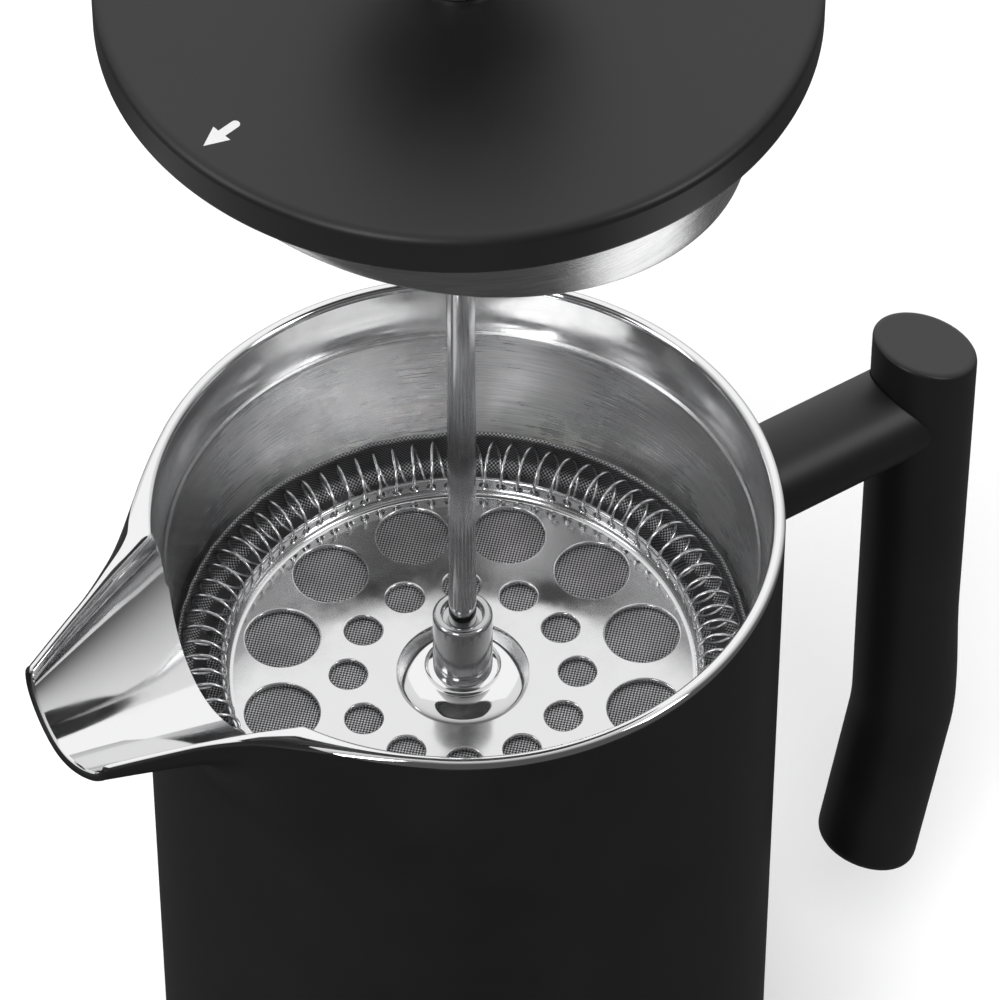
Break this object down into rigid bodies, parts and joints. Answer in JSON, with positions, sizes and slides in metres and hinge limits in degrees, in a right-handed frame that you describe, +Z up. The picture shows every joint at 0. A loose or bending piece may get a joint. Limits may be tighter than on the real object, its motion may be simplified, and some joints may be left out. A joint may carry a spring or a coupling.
{
  "type": "french press",
  "caption": "Double-walled steel coffee press with a bar handle, pouring spout, turning lid on a guide bush, and a plunger with a sprung mesh filter.",
  "frame": {"origin": "centre of the underside of the base, on the pot's axis", "axes": "+Z up along the pot's axis, +X towards the handle, -X towards the spout"},
  "size_m": [0.1853, 0.1136, 0.3571],
  "materials": {
    "black_coated_steel": "matt powder coat",
    "brushed_liner": "brushed round the pot",
    "polished_steel": "mirror polished",
    "brushed_steel": "satin",
    "satin_collar": "fine satin",
    "bush_steel": "turned",
    "spring_wire": "bright drawn wire",
    "woven_mesh": "fine plain weave",
    "black_plastic": "satin moulded",
    "mark_grey": "printed",
    "silicone": "matt",
    "insert_brass": "turned"
  },
  "bodies": {
    "pot": {"outer_shell": "black_coated_steel", "liner": "brushed_liner", "base_plate": "brushed_steel", "rim_ring": "polished_steel", "spout_channel": "polished_steel", "spout_skin": "black_coated_steel", "handle_arm": "black_coated_steel", "handle_bar": "black_coated_steel", "handle_stud": "brushed_steel", "handle_backing_plate": "brushed_steel"},
    "lid": {"lid_cap": "black_plastic", "lid_collar": "satin_collar", "lid_plate": "satin_collar", "lid_screws": "brushed_steel", "arrow_mark": "mark_grey"},
    "bush": {"guide_bush": "bush_steel", "bush_ring": "brushed_steel"},
    "seal": {"rod_seal": "silicone"},
    "plunger": {"rod": "polished_steel", "knob": "black_plastic", "knob_insert": "insert_brass", "knob_sleeve": "brushed_steel", "hub_nut": "polished_steel", "hub_disc": "polished_steel", "filter_plate": "polished_steel", "coil_spring": "spring_wire", "mesh_screen": "woven_mesh", "cross_plate": "polished_steel", "filter_nut": "brushed_steel"}
  },
  "joints": [
    {"name": "lid_lift", "type": "slide", "parent": "pot", "child": "bush", "axis": [0, 0, 1], "range_m": [-0.1197, 0.065]},
    {"name": "lid_turn", "type": "hinge", "parent": "bush", "child": "lid", "pos_m": [0, 0, 0.307], "axis": [0, 0, 1], "continuous": true},
    {"name": "plunger_turn", "type": "hinge", "parent": "bush", "child": "seal", "pos_m": [0, 0, 0.307], "axis": [0, 0, 1], "continuous": true},
    {"name": "plunger_slide", "type": "slide", "parent": "seal", "child": "plunger", "axis": [0, 0, 1], "range_m": [0, 0.125]}
  ]
}
